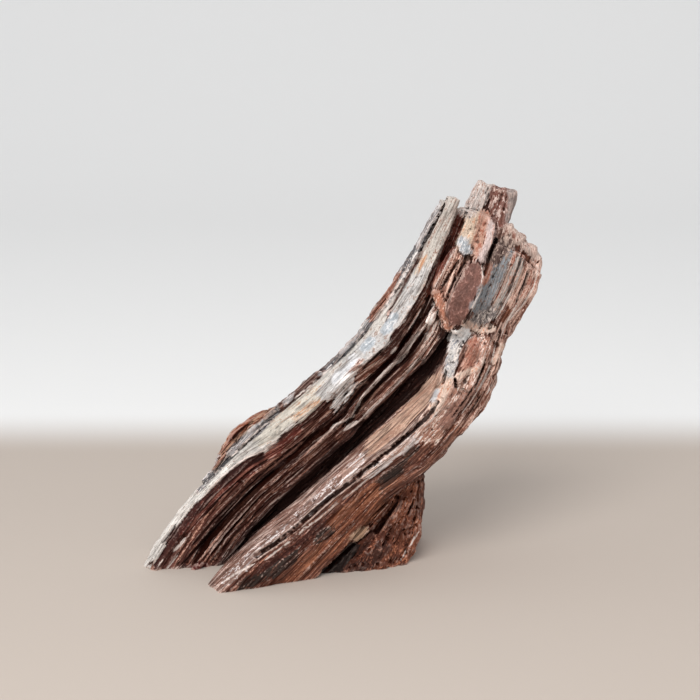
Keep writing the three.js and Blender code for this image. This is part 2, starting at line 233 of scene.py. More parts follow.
# Patches laid over the bands: finish, half width in pixels, and the line that each follows.
PATCHES = [
    ("crust_low", 7.5, [(145, 561), (168, 527), (199, 490), (222, 469)]),
    ("crust", 8, [(236, 464), (248, 456), (270, 444)]),
    ("crust_cream", 10, [(262, 436), (290, 416), (320, 392)]),
    ("crust_rust", 2.5, [(296, 418), (308, 408), (322, 400), (332, 392)]),
    ("crust_white", 10, [(326, 392), (345, 376), (364, 354), (380, 340)]),
    ("crust_blue", 4, [(364, 349), (372, 340)]),
    ("crust_frost", 6, [(337, 381), (350, 368), (357, 361)]),
    ("crust_white", 8, [(396, 318), (410, 292), (424, 266)]),
    ("crust_top", 11, [(428, 256), (440, 232), (452, 208)]),
    ("crust_blue", 5, [(386, 329), (394, 316)]),
    ("crust_rust", 2.5, [(417, 272), (424, 258)]),
    ("rind", 5, [(200, 486), (215, 469), (232, 451), (250, 436), (264, 422), (285, 402), (310, 380),
                 (340, 354), (360, 333), (376, 314), (392, 290), (404, 268), (418, 245), (436, 210)]),
    ("rind_dark", 4.5, [(216, 467), (224, 459), (234, 452)]),
    ("rind_dark", 2.2, [(244, 443), (256, 431), (268, 417), (280, 406)]),
    ("rind_dark", 2, [(334, 363), (348, 351), (360, 337)]),
    ("rind_brown", 5, [(284, 404), (300, 391), (318, 375)]),
    ("rind_rust", 4, [(372, 318), (380, 306), (388, 291), (397, 276)]),
    ("rind_brown", 2, [(386, 318), (402, 290), (412, 270), (422, 250)]),
    ("rind_pale", 3, [(440, 202), (428, 224), (418, 243)]),
    ("rind_pale", 2, [(232, 452), (244, 439), (256, 427)]),
    ("rind_pale", 2.5, [(286, 402), (292, 396)]),
    ("rind_pale", 2.5, [(340, 352), (348, 345), (356, 336)]),
    ("rust_flake", 6, [(214, 462), (226, 445), (240, 430), (255, 417), (268, 407)]),
    ("rind_pale", 2.5, [(211, 466), (217, 457)]),
    ("wall_red", 4, [(183, 533), (205, 508), (230, 485), (250, 470), (275, 450), (300, 430)]),
    ("wall_wine", 4.5, [(168, 542), (190, 516), (215, 490), (240, 467), (262, 456)]),
    ("wall_brown", 6, [(348, 388), (362, 374), (378, 360)]),
    ("wall_dark", 4, [(352, 400), (372, 382), (390, 366), (402, 350), (412, 334)]),
    ("wall_dark", 3, [(402, 338), (414, 320), (424, 304), (430, 291)]),
    ("wall_pink", 3, [(404, 334), (414, 320), (424, 302)]),
    ("wall_pink", 5, [(366, 414), (384, 398), (402, 378), (420, 356), (436, 334)]),
    ("wall_pale", 5, [(428, 334), (438, 322)]),
    ("wall_streak", 4, [(430, 322), (434, 312), (436, 302)]),
    ("ledge", 2.6, [(204, 567), (215, 553), (232, 535), (250, 515), (270, 492), (285, 478), (300, 462),
                    (320, 447), (340, 434)]),
    ("foot_rust", 3, [(152, 564), (158, 572), (168, 573)]),
    ("wall_pale", 4, [(359, 363), (352, 373)]),
    ("lobe", 9, [(348, 381), (342, 393)]),
    ("lobe", 4.5, [(342, 393), (336, 407)]),
    # The groove's floor: dark brown, partly painted shade.
    ("groove_shade", 6.5, [(222, 569), (243, 548), (262, 527), (285, 502), (310, 477), (340, 450), (370, 424),
                     (400, 395), (430, 366), (443, 346)]),
    ("red_spot", 5, [(192, 571), (204, 567)]),
    ("ridge", 5, [(215, 577), (240, 557), (262, 535), (290, 511), (320, 486), (350, 461)]),
    ("ridge_silver", 6.5, [(228, 579), (250, 559), (275, 539), (300, 516), (325, 496), (345, 476),
                           (356, 466)]),
    ("ridge_beige", 8, [(372, 446), (396, 426), (420, 402), (440, 378)]),
    ("ridge_pale", 5, [(368, 474), (384, 462), (400, 450), (416, 438), (432, 428)]),
    ("ridge_pale", 4, [(342, 476), (352, 468), (362, 459)]),
    ("low_dark", 4, [(256, 574), (280, 557), (306, 537), (330, 518), (356, 498)]),
    ("low_teal", 5, [(240, 588), (268, 574), (298, 554)]),
    ("low_teal", 5, [(318, 538), (330, 530)]),
    ("low_teal", 6, [(380, 484), (398, 469), (414, 452)]),
    ("low_rust", 8, [(312, 562), (340, 540), (362, 520), (380, 500)]),
    ("low_rust", 6, [(334, 520), (356, 502), (376, 488)]),
    ("low_brown", 8, [(410, 470), (430, 452), (448, 436)]),
    ("knot_red", 14, [(430, 430), (452, 406), (474, 380), (484, 350)]),
    ("knot_cream", 6, [(434, 408), (442, 392), (450, 376)]),
    ("knot_top", 7, [(455, 338), (465, 333)]),
    ("knot_white", 6, [(454, 346), (453, 358), (450, 372)]),
    ("knot_grey", 2, [(463, 342), (458, 352), (454, 362), (448, 360)]),
    ("knot_orange", 6, [(474, 342), (471, 354), (468, 366)]),
    ("knot_cream", 3, [(458, 376), (468, 372), (478, 368)]),
    ("knot_purple", 7, [(446, 424), (456, 408), (470, 396)]),
    ("crust_frost", 2.5, [(433, 400), (438, 390)]),
    ("right_low", 8, [(464, 418), (484, 396), (494, 366), (504, 336)]),
    ("channel", 7, [(466, 212), (452, 244), (440, 272), (431, 292)]),
    ("flank", 9, [(466, 256), (452, 272), (442, 290), (440, 308)]),
    ("flank_pale", 2, [(456, 250), (444, 270), (434, 286)]),
    ("tongue_rim", 5, [(436, 294), (443, 310), (448, 326)]),
    ("tongue", 12, [(474, 274), (463, 294), (455, 314)]),
    ("block_cream", 10, [(472, 210), (474, 226), (466, 244)]),
    ("block_rust", 7, [(484, 216), (480, 236), (476, 250)]),
    ("block_pink", 5, [(492, 224), (489, 240), (483, 258)]),
    ("crust_blue", 6, [(463, 243), (466, 250)]),
    ("blue_face", 10, [(504, 254), (494, 278), (482, 308)]),
    ("blue_pale", 5, [(519, 262), (507, 290), (496, 310)]),
    ("speckled", 8, [(508, 242), (500, 250), (494, 258)]),
    ("knot_orange", 3.5, [(489, 268), (485, 282)]),
    ("rust_stripe", 1.8, [(514, 256), (504, 282), (492, 306)]),
    ("rust_stripe", 1.6, [(527, 262), (516, 288), (508, 305)]),
    ("knot_mottle", 7, [(476, 323), (490, 313)]),
    ("knot_cream", 4, [(466, 324), (478, 330), (492, 328)]),
    ("right_ridge", 3, [(532, 258), (524, 280), (512, 304)]),
    ("right_ridge", 7, [(541, 266), (531, 290), (516, 316), (500, 336)]),
    ("right_low", 5, [(526, 304), (514, 322), (504, 336)]),
    ("knot_cream", 3, [(503, 345), (497, 357), (494, 362)]),
    ("shoulder", 7, [(508, 228), (524, 240), (536, 254)]),
    ("column_pale", 10, [(484, 184), (476, 198), (468, 208)]),
    ("column_red", 9, [(500, 192), (498, 206), (500, 220)]),
    ("column_grey", 4, [(512, 190), (512, 206), (508, 220)]),
    # Painted shade in the gap under the front ridge.
    ("recess_shade", 6, [(326, 574), (336, 568), (346, 556), (354, 548)]),
    ("lump_dark", 7, [(350, 572), (368, 562), (384, 548)]),
    ("lump_dark", 3, [(360, 552), (370, 538), (380, 522)]),
    ("lump", 3, [(380, 534), (392, 518), (401, 503)]),
    ("lump_rust", 5, [(398, 520), (410, 500), (414, 488)]),
    ("lump_rust", 5, [(410, 560), (418, 540), (421, 524)]),
    ("chip", 5, [(355, 538), (364, 531)]),
]

# Crevices that are both cut in and darkened with painted shade.
# They lie in the front ridge, in the left prong, and left of the tongue.
RIDGE_CREVICE = [(256, 555), (275, 544), (290, 532), (300, 524), (312, 513), (325, 502), (340, 490),
                 (356, 478), (375, 463), (400, 441), (415, 428), (430, 415), (437, 403)]
PRONG_CREVICE = [(447, 200), (440, 213), (432, 228), (424, 243), (419, 256)]
TONGUE_CREVICE = [(467, 258), (456, 278), (446, 298)]
SIDE_CREVICE = [(457, 262), (448, 276), (440, 290)]

# Fine lines on the rock, drawn sharp: half width in pixels, and the line that each follows.
# Dark ones: partly the rock's dark joints, partly painted shade in crevices, in channels and under lips.
DARK_LINES = [
    (2.2, RIDGE_CREVICE),
    (1.0, PRONG_CREVICE),
    (1.1, TONGUE_CREVICE),
    (0.9, SIDE_CREVICE),
    (1.1, [(453, 374), (456, 382), (457, 391)]),
    (0.9, [(447, 366), (444, 376), (442, 383)]),
    (1.2, [(228, 444), (240, 431), (258, 418)]),
    (1.6, [(398, 348), (408, 335), (418, 319), (426, 304), (431, 292)]),
    (1.7, [(340, 429), (354, 417), (360, 406), (372, 392), (382, 381), (395, 369), (408, 358), (415, 347),
           (425, 333)]),
    (1.3, [(330, 426), (344, 416), (351, 402), (362, 388), (376, 374), (392, 358)]),
    (1.2, [(356, 376), (366, 366), (378, 354), (386, 347)]),
    (1.0, [(340, 400), (346, 394), (352, 388)]),
    (0.9, [(200, 520), (222, 496), (246, 474), (270, 458)]),
    (0.9, [(190, 548), (214, 520), (240, 494), (266, 470), (290, 450), (314, 432)]),
    (1.0, [(178, 568), (200, 545), (226, 516), (252, 490), (276, 468)]),
    (1.2, [(461, 328), (467, 318), (473, 306)]),
    (1.5, [(497, 238), (492, 248), (487, 260)]),
    (0.9, [(450, 420), (462, 404), (476, 384), (486, 362)]),
    (0.8, [(462, 424), (474, 406), (484, 390)]),
    (0.7, [(514, 306), (522, 288), (530, 266)]),
    (2.0, [(322, 574), (334, 564), (342, 556), (353, 545)]),
    (1.5, [(374, 536), (388, 516), (399, 500)]),
    (1.0, [(408, 514), (414, 500)]),
    (1.0, [(350, 548), (366, 536), (376, 526)]),
]
# Pale ones: partly pale seams, partly painted highlights along the tops of ledges and edges.
PALE_LINES = [
    (1.2, [(328, 432), (335, 425), (345, 421), (352, 417), (357, 407), (362, 397), (370, 388), (378, 380),
           (385, 372), (392, 365), (400, 361), (406, 354), (410, 346), (416, 337), (422, 330), (428, 322)]),
    (2.2, [(342, 432), (350, 426), (361, 420)]),
    (0.9, [(361, 420), (368, 411), (378, 402), (392, 390), (406, 374), (420, 356)]),
    (0.9, [(262, 562), (280, 549), (295, 537), (305, 528), (320, 518), (335, 505), (356, 489), (372, 475)]),
    (1.4, [(171, 553), (180, 545), (187, 536)]),
    (0.8, [(155, 570), (160, 563), (166, 556)]),
    (0.6, [(164, 572), (172, 562), (180, 552)]),
    (1.1, [(293, 442), (299, 434)]),
    (0.8, [(356, 381), (360, 385), (363, 381)]),
    (1.8, [(390, 355), (398, 346)]),
    (0.8, [(406, 334), (414, 322), (423, 306)]),
    (0.7, [(200, 500), (212, 488), (225, 474), (237, 464), (247, 457), (256, 455), (265, 450), (280, 438)]),
    (0.7, [(420, 430), (432, 420), (440, 408)]),
    (0.8, [(396, 566), (408, 548), (420, 530)]),
    (0.7, [(210, 590), (235, 574), (258, 562)]),
    (0.7, [(481, 262), (483, 276), (480, 292), (472, 308), (466, 322)]),
    (0.7, [(512, 258), (502, 282), (490, 306)]),
    (0.6, [(524, 264), (515, 286), (503, 308)]),
    (0.6, [(545, 270), (541, 290), (530, 312), (516, 332), (506, 345)]),
    (0.6, [(520, 298), (508, 320), (500, 338)]),
    (0.6, [(508, 342), (504, 360), (496, 378), (484, 398)]),
    (0.8, [(230, 458), (244, 444), (258, 431), (272, 419)]),
    (0.7, [(374, 322), (384, 308), (394, 291), (404, 273), (414, 256)]),
    (0.7, [(294, 399), (306, 389), (320, 377), (334, 365)]),
    (0.6, [(496, 340), (492, 360), (484, 380), (472, 400), (460, 416)]),
    (0.6, [(459, 244), (447, 263), (436, 284), (432, 294)]),
    (0.7, [(530, 257), (538, 268), (534, 286), (524, 304), (508, 322)]),
]

# Cuts in the grooved face: half width in pixels, depth in millimetres, and the line that each follows.
# A depth below zero is a swelling.
CUTS = [
    (11.0, 3.6, [(322, 362), (334, 350), (344, 338), (354, 326), (362, 314)]),
    (14.0, -1.7, [(238, 432), (252, 418), (264, 409)]),
    (9.0, -1.0, [(496, 186), (512, 188)]),
    (6.0, -1.0, [(514, 194), (511, 212), (509, 224)]),
    (8.0, -1.4, [(522, 240), (532, 247)]),
    (6.0, -1.0, [(538, 264), (539, 274)]),
    (8.0, 1.4, [(504, 342), (503, 352)]),
    (9.0, 3.4, [(499, 378), (497, 388)]),
    (8.0, 1.6, [(456, 438), (452, 448)]),
    (3.2, 3.2, RIDGE_CREVICE),
    (1.8, 3.0, PRONG_CREVICE),
    (2.0, 1.6, TONGUE_CREVICE),
    (1.6, 1.2, SIDE_CREVICE),
    (2.4, 2.2, [(455, 380), (456, 387)]),
    (2.2, 1.6, [(446, 372), (443, 383)]),
    (3.0, 2.5, [(330, 568), (342, 556), (353, 545)]),
    (3.5, 1.5, [(377, 532), (388, 515), (399, 499)]),
    (2.2, 1.4, [(408, 514), (414, 500)]),
    (3.0, 2.0, [(496, 240), (490, 256), (484, 274)]),
]

# Lips in the grooved face: the far side of each line falls away by its depth in millimetres, and
# comes back over its reach in pixels.
LIPS = [
    (1.8, 9, [(330, 431), (336, 426), (346, 422), (353, 418), (358, 408), (363, 398), (371, 389),
              (379, 381), (386, 373), (393, 366), (401, 362), (407, 355), (411, 347), (417, 338),
              (423, 331), (429, 323)]),
    (1.4, 8, [(344, 434), (362, 421), (370, 412), (380, 403), (394, 391), (408, 375), (422, 357)]),
]

# The lump's outer corner draws in towards the floor: how far in millimetres, over which pixels down
# and over which pixels right.
CORNER_DRAW = 5.5
CORNER_DOWN = (534, 570)
CORNER_RIGHT = (382, 420)

# On the side that the eye doesn't see, patches drift by up to this many pixels along the grain.
BACK_DRIFT = 16

# Turns points so that the noise has no rows along the stone's own axes.
TURN = np.array(((0.36, 0.48, -0.80), (-0.80, 0.60, 0.0), (0.48, 0.64, 0.60)))


# Repeatable noise

CELL_PRIMES = (374761393, 668265263, 2147483629)
SEED_PRIME = 1442695041
MIXERS = ((13, 1274126177), (16, 2246822519))


def hashed(x, y, z, seed):
    """A repeatable number from 0 to 1 for each whole-number cell."""
    value = sum(v.astype(np.int64) * prime for v, prime in zip((x, y, z), CELL_PRIMES))
    value = (value + seed * SEED_PRIME) & 0xFFFFFFFF
    for shift, mixer in MIXERS:
        value = ((value ^ (value >> shift)) * mixer) & 0xFFFFFFFF
    return ((value ^ (value >> 15)) & 0xFFFFFF) / float(0x1000000)


def noise(x, y, z, seed):
    """Smooth noise from -1 to 1."""
    cells = [np.floor(v) for v in (x, y, z)]
    parts = [v - c for v, c in zip((x, y, z), cells)]
    parts = [t * t * t * (t * (t * 6 - 15) + 10) for t in parts]
    total = 0.0
    for i in (0, 1):
        for j in (0, 1):
            for k in (0, 1):
                weight = ((parts[0] if i else 1 - parts[0]) * (parts[1] if j else 1 - parts[1])
                          * (parts[2] if k else 1 - parts[2]))
                total = total + weight * hashed(cells[0] + i, cells[1] + j, cells[2] + k, seed)
    return total * 2 - 1


def layered_noise(x, y, z, seed, octaves=3, gain=0.5):
    """Noise with finer and weaker octaves added, from about -1 to 1."""
    total, weight, most = 0.0, 1.0, 0.0
    for octave in range(octaves):
        scale = 2.03 ** octave
        total = total + weight * noise(x * scale, y * scale, z * scale, seed + 17 * octave)
        most += weight
        weight *= gain
    return total / most


def ramp(value, low, high):
    """0 below low, 1 above high, smooth between."""
    t = np.clip((value - low) / (high - low), 0, 1)
    return t * t * (3 - 2 * t)


# Places on the picture plane and in the grain

def on_picture(points):
    """Where points in millimetres stand on the picture plane, in pixels right and down."""
    away = points - EYE
    distance = away @ SIGHT
    across = away[:, 0] / distance * EYE_DISTANCE
    up = SIGHT_UP + (away @ SIGHT_UPWARDS) / distance * EYE_DISTANCE
    return PICTURE_MIDDLE + across / PIXEL, PICTURE_FOOT - up / PIXEL


def follow(line, right, down, open_ended):
    """Distance from a line (positive on its lower right), the way along it, and its direction."""
    corners = np.array(line, float)
    steps = np.diff(corners, axis=0)
    lengths = np.hypot(steps[:, 0], steps[:, 1])
    starts = np.concatenate(([0.0], np.cumsum(lengths)[:-1]))
    nearest = np.full(len(right), 1e9)
    side = np.ones(len(right))
    way = np.zeros(len(right))
    heading = np.zeros((len(right), 2))
    for k, (step, length) in enumerate(zip(steps, lengths)):
        unit = step / length
        along = (right - corners[k, 0]) * unit[0] + (down - corners[k, 1]) * unit[1]
        low = -1e6 if open_ended and k == 0 else 0.0
        high = 1e6 if open_ended and k == len(steps) - 1 else length
        kept = np.clip(along, low, high)
        off_right = right - corners[k, 0] - kept * unit[0]
        off_down = down - corners[k, 1] - kept * unit[1]
        gap = np.hypot(off_right, off_down)
        closer = gap < nearest
        nearest[closer] = gap[closer]
        side[closer] = np.sign(off_down * unit[0] - off_right * unit[1])[closer]
        way[closer] = starts[k] + kept[closer]
        heading[closer] = unit
    return side * nearest, way, heading


def between(guides, right, down):
    """The layer at each place, spread evenly between neighbouring guides, with what each guide gave."""
    found = [follow(line, right, down, True) for _, line in guides]
    levels = [level for level, _ in guides]
    layer = levels[0] + np.minimum(found[0][0], 0) * PIXEL
    for k in range(len(guides) - 1):
        here, there = found[k][0], found[k + 1][0]
        share = np.clip(here / np.maximum(here - there, 1e-3), 0, 1)
        share = np.where(there >= 0, 1.0, share)
        layer = np.where(here > 0, levels[k] + share * (levels[k + 1] - levels[k]), layer)
    layer = layer + np.maximum(found[-1][0], 0) * PIXEL
    return layer, found


def finish_table(columns):
    """The chosen columns of every finish, with the colours made linear."""
    return {name: np.concatenate([colour(*entry[c]) if c in (BASE, STREAK) else [entry[c]]
                                  for c in columns])
            for name, entry in FINISHES.items()}


class Grain:
    """For each point: its place on the picture plane, and its way, layer and depth in the grain."""

    def __init__(self, points, normals):
        self.points = points
        self.right, self.down = on_picture(points)
        self.depth = points[:, 1] - LAYOUT_SHIFT[1]
        self.layer, found = between(GRAIN_GUIDES, self.right, self.down)
        self.way = self.way_up(GRAIN_SLOPE)
        self.heading = found[2][2]
        lump_layer, lump_found = between(LUMP_GUIDES, self.right, self.down)
        self.lump = (found[-1][0] > 0) & (self.down > LUMP_ABOVE) & (self.right < LUMP_RIGHT)
        self.layer[self.lump] = lump_layer[self.lump]
        self.way[self.lump] = self.way_up(LUMP_SLOPE)[self.lump]
        self.heading[self.lump] = lump_found[0][2][self.lump]
        self.facing_across = np.abs(normals[:, 0] * self.heading[:, 1] + normals[:, 2] * self.heading[:, 0])
        self.facing_along = np.abs(normals[:, 0] * self.heading[:, 0] - normals[:, 2] * self.heading[:, 1])
        self.front = ramp(-(normals @ SIGHT), -0.35, 0.05)
        drift = BACK_DRIFT * (1 - self.front)
        slide = drift * noise(self.way / 30, self.layer / 20, self.depth / 30, 3)
        sway = 0.3 * drift * noise(self.way / 24, self.layer / 14, self.depth / 24, 5)
        self.patch_right = self.right + slide * self.heading[:, 0] - sway * self.heading[:, 1]
        self.patch_down = self.down + slide * self.heading[:, 1] + sway * self.heading[:, 0]
        self.wobble = layered_noise(self.way / 7, self.layer / 0.9, self.depth / 5, 7, 2)
        self.fray = layered_noise(self.way / 40, self.layer / 1.3, self.depth / 7, 8, 3, 0.7)
        self.sway = noise(self.way / 6, self.layer / 4, self.depth / 6, 9)

    def way_up(self, slope):
        """Distance in millimetres up a slope on the picture plane."""
        return (self.right * math.cos(slope) - self.down * math.sin(slope)) * PIXEL

    def near(self, line, margin):
        """The points whose places are within a margin of a line's box."""
        corners = np.array(line, float)
        low, high = corners.min(axis=0) - margin, corners.max(axis=0) + margin
        return np.flatnonzero((self.patch_right > low[0]) & (self.patch_right < high[0])
                              & (self.patch_down > low[1]) & (self.patch_down < high[1]))

    def banded(self, columns):
        """The chosen columns of the finishes at each point, from the bands alone."""
        table = finish_table(columns)
        sway = 1.1 * layered_noise(self.way / 26, self.layer / 7, self.depth / 16, 71, 3)
        places = [place for place, _ in BANDS]
        width = len(table["wall"])
        return np.stack([np.interp(self.layer + sway, places, [table[name][i] for _, name in BANDS])
                         for i in range(width)], axis=1)

    def patched(self, columns):
        """The same from the patches, with each point's share in them: a half at a patch's edge."""
        table = finish_table(columns)
        values = np.tile(table["crust"], (len(self.right), 1))
        reach = CRUST_LAYER - self.layer + CRUST_WOBBLE * self.wobble
        edge = 0.5 + reach / (2 * PATCH_EDGE * PIXEL)
        shares = np.clip(edge, 0, 1)
        for name, half_width, line in PATCHES:
            fray = FRAY * FINISHES[name][LINES]
            chosen = self.near(line, half_width + PATCH_EDGE + 3 + fray)
            slide = fray * self.fray[chosen]
            right = self.patch_right[chosen] + slide * self.heading[chosen, 0]
            down = self.patch_down[chosen] + slide * self.heading[chosen, 1]
            gap = np.abs(follow(line, right, down, False)[0])
            gap = gap + (0.5 + 0.35 * half_width) * self.wobble[chosen]
            share = np.clip(0.5 + (half_width - gap) / (2 * PATCH_EDGE), 0, 1)
            taken = np.maximum(ramp(share, 0.40, 0.66), ramp(share - shares[chosen], 0.0, 0.1))
            values[chosen] += taken[:, None] * (table[name] - values[chosen])
            shares[chosen] = np.maximum(shares[chosen], share)
        return values, shares

    def gap_to(self, lines):
        """Distance in pixels to the edge of the nearest line of a group, negative inside it."""
        gaps = np.full(len(self.right), LINE_REACH)
        for half_width, line in lines:
            chosen = self.near(line, half_width + LINE_REACH)
            gap, way, _ = follow(line, self.patch_right[chosen], self.patch_down[chosen], False)
            length = np.hypot(*np.diff(np.array(line, float), axis=0).T).sum()
            taper = min(LINE_TAPER, 0.5 * length)
            thin = (1 - np.minimum(np.minimum(way, length - way) / taper, 1)) ** 2
            gaps[chosen] = np.minimum(gaps[chosen], np.abs(gap) - half_width + (half_width + 0.5) * thin)
        return gaps

    def traits(self, columns):
        """The chosen columns of the finishes at each point, patches over bands."""
        under = self.banded(columns)
        over, shares = self.patched(columns)
        return under + ramp(shares, 0.3, 0.7)[:, None] * (over - under)


# The surface

def apply_modifiers(piece):
    depsgraph = bpy.context.evaluated_depsgraph_get()
    made = bpy.data.meshes.new_from_object(piece.evaluated_get(depsgraph))
    piece.modifiers.clear()
    old = piece.data
    piece.data = made
    bpy.data.meshes.remove(old)


def read_vectors(items, field):
    values = np.empty(len(items) * 3, np.float32)
    items.foreach_get(field, values)
    return values.reshape(-1, 3).astype(float)


def read_points(mesh):
    return read_vectors(mesh.vertices, "co")


def read_normals(mesh):
    return read_vectors(mesh.vertex_normals, "vector")


def write_points(mesh, points):
    mesh.vertices.foreach_set("co", points.astype(np.float32).ravel())
    mesh.update()


def set_attribute(mesh, name, kind, values):
    field = {"FLOAT_COLOR": "color", "FLOAT_VECTOR": "vector", "FLOAT": "value"}[kind]
    made = mesh.attributes.new(name, kind, "POINT")
    made.data.foreach_set(field, values.astype(np.float32).ravel())


def even_surface(source):
    """An even, closed mesh over the solid's form, in millimetres."""
    piece = bpy.data.objects.new("stone_surface", source.data.copy())
    bpy.context.scene.collection.objects.link(piece)
    write_points(piece.data, read_points(piece.data) / MM)
    remesh = piece.modifiers.new("even", "REMESH")
    remesh.mode = "VOXEL"
    remesh.voxel_size = VOXEL
    apply_modifiers(piece)
    return piece


def terraces(grain, thickness, run, seed):
    """Heights from 0 to 1 of flat layers, each changing slowly along its run."""
    bend = 0.5 * noise(grain.way / 34, grain.depth / 22, grain.way * 0, seed)
    bend = bend + 0.14 * noise(grain.way / 9, grain.depth / 8, grain.way * 0, seed + 5)
    place = grain.layer / thickness + bend
    number = np.floor(place)

    def height(layer):
        start = 7.3 * hashed(layer, layer * 0, layer * 0, seed + 1)
        place_along = grain.way / run + start
        cell = np.floor(place_along)
        sharpness = 0.03 + 0.4 * hashed(layer, cell, layer * 0, seed + 4) ** 2
        part = ramp(place_along - cell, 0.5 - sharpness, 0.5 + sharpness)
        deep = np.floor(grain.depth / 30 + 3 * hashed(layer, layer * 0, layer * 0, seed + 2))
        return (hashed(layer, cell, deep, seed + 3) * (1 - part)
                + hashed(layer, cell + 1, deep, seed + 3) * part)

    over = ramp(place - number, 0.72, 1.0)
    return height(number) * (1 - over) + height(number + 1) * over


def threads(first, second, third, seed, width):
    """Thin lines where smooth noise crosses zero: 1 in the middle of a line and 0 away from it."""
    return 1 - ramp(np.abs(noise(first, second, third, seed)), 0.0, width)


def plates(grain, size, steps, seed):
    """Flat plates with ragged edges, 0 to 1, on the faces between two layers."""
    value = 0.5 + 0.5 * layered_noise(grain.way / size, grain.depth / (0.4 * size), grain.way * 0, seed, 4)
    whole = np.floor(value * steps)
    return (whole + ramp(value * steps - whole, 0.86, 1.0)) / steps


def relief(grain):
    """How far each point is set in along its normal, in millimetres.

    A number that a coordinate is divided by is the size of that noise, in millimetres.
    """
    x, y, z = (grain.points @ TURN).T
    layering, rough = grain.traits((LAYERING, ROUGH)).T
    edge_on = ramp(1 - grain.facing_across, 0.04, 0.26)
    broken = ramp(grain.facing_along, 0.55, 0.85)
    flat_on = 1 - edge_on
    edge_on = edge_on * (1 - 0.6 * broken)

    steps = 1.9 * (1 - terraces(grain, 4.1, 52, 11)) + 1.1 * (1 - terraces(grain, 1.9, 30, 23))
    slits = threads(grain.way / 30, grain.layer / 2.6, grain.depth / 14, 31, 0.12)
    slits = slits * ramp(noise(x / 14, y / 14, z / 14, 37), -0.3, 0.3)
    depth = edge_on * layering * (steps + 0.9 * slits)

    flutes = 1 - np.abs(noise(grain.way / 32, grain.depth / 3.2, grain.layer / 5, 43))
    furrows = threads(grain.way / 26, grain.depth / 3.6, grain.layer / 6, 45, 0.10)
    sheets = 1 - plates(grain, 30, 5, 41)
    depth += flat_on * (0.3 + 0.7 * layering) * (1.5 * sheets + 0.5 * flutes + 0.6 * furrows)

    crumbs = layered_noise(x / 4.6, y / 4.6, z / 4.6, 53, 3, 0.6)
    lumps = layered_noise(x / 9, y / 9, z / 9, 61, 2)
    pits = ramp(noise(x / 2.3 + crumbs, y / 2.3 - crumbs, z / 2.3, 67), 0.40, 0.80)
    depth += (rough + 0.9 * broken) * (0.25 + 0.55 * crumbs + 0.7 * lumps + 0.4 * pits)
    return depth


def grooved_face(grain):
    """The named cuts and lips of the face that the eye sees, in millimetres."""
    depth = np.zeros(len(grain.right))
    for half_width, most, line in CUTS:
        chosen = grain.near(line, half_width + 3)
        gap = np.abs(follow(line, grain.right[chosen], grain.down[chosen], False)[0])
        gap = gap + 0.35 * half_width * grain.sway[chosen]
        depth[chosen] += most * (1 - ramp(gap, 0.25 * half_width, half_width))
    for most, reach, line in LIPS:
        chosen = grain.near(line, reach)
        gap, way, _ = follow(line, grain.right[chosen], grain.down[chosen], False)
        gap = gap + 0.8 * grain.sway[chosen]
        ends = ramp(way, 0, 12) * ramp(-way, -way.max(), -way.max() + 12)
        depth[chosen] += most * ends * ramp(gap, -0.8, 0.8) * (1 - ramp(gap, 0.8, reach))
    return depth * grain.front


def neighbour_mean(mesh, values, rounds):
    """Values averaged over each point's neighbours, a number of times over."""
    pairs = np.empty(len(mesh.edges) * 2, np.int32)
    mesh.edges.foreach_get("vertices", pairs)
    first, second = pairs.reshape(-1, 2).T
    count = len(values)
    neighbours = np.bincount(first, minlength=count) + np.bincount(second, minlength=count)
    for _ in range(rounds):
        total = [np.bincount(first, column[second], count) + np.bincount(second, column[first], count)
                 for column in values.T]
        values = np.stack(total, axis=1) / neighbours[:, None]
    return values


def smoothed(piece, rounds):
    """The mesh's points, each moved to the mean of its neighbours a number of times over."""
    smooth = piece.modifiers.new("smooth", "SMOOTH")
    smooth.factor = 1.0
    smooth.iterations = rounds
    depsgraph = bpy.context.evaluated_depsgraph_get()
    points = read_points(piece.evaluated_get(depsgraph).data)
    piece.modifiers.remove(smooth)
    return points


def wear_edges(piece):
    """Rounds the solid's sharp edges off, inwards only, and leaves its flat feet."""
    mesh = piece.data
    points = read_points(mesh)
    normals = read_normals(mesh)
    grain = Grain(points, neighbour_mean(mesh, normals, NORMAL_ROUNDS))
    broken = ramp(grain.facing_along, 0.35, 0.80)[:, None]
    shift = (smoothed(piece, EDGE_ROUNDS) - points) * (1 - broken)
    shift += (smoothed(piece, END_ROUNDS) - points) * broken
    inwards = ramp(-(shift * normals).sum(axis=1), 0, 0.1) * ramp(points[:, 2], FLAT_FOOT, FOOT_FADE)
    write_points(mesh, points + shift * inwards[:, None])


def draw_in_corner(piece):
    """Moves the lump's outer corner inwards, level with the floor, so that the flat foot stays flat."""
    points = read_points(piece.data)
    right, down = on_picture(points)
    near = ramp(down, *CORNER_DOWN) * ramp(right, *CORNER_RIGHT)
    points[:, 0] -= CORNER_DRAW * near
    write_points(piece.data, points)


def carve(piece):
    """Sets the relief into the surface, and keeps how far each point stands out of its surroundings."""
    mesh = piece.data
    points = read_points(mesh)
    normals = neighbour_mean(mesh, read_normals(mesh), NORMAL_ROUNDS)
    normals /= np.linalg.norm(normals, axis=1, keepdims=True) + 1e-9
    grain = Grain(points, normals)
    depth = np.maximum(relief(grain) - PROUD, -MOST_PROUD) + grooved_face(grain)
    depth *= ramp(points[:, 2], FLAT_FOOT, FOOT_FADE)
    moved = points - normals * depth[:, None]
    moved[:, 2] = np.where(points[:, 2] < FLAT_FOOT, points[:, 2], np.maximum(moved[:, 2], LEAST_HEIGHT))
    moved[:, 2] = np.maximum(moved[:, 2], 0.0)
    write_points(mesh, moved)
    normals = read_normals(mesh)
    # These drive painted light: crest highlight and valley shade (near), hollow shade (far).
    for name, rounds in (("stand_out", NEAR_ROUNDS), ("hollow", FAR_ROUNDS)):
        out = moved - smoothed(piece, rounds)
        set_attribute(mesh, name, "FLOAT", (out * normals).sum(axis=1))


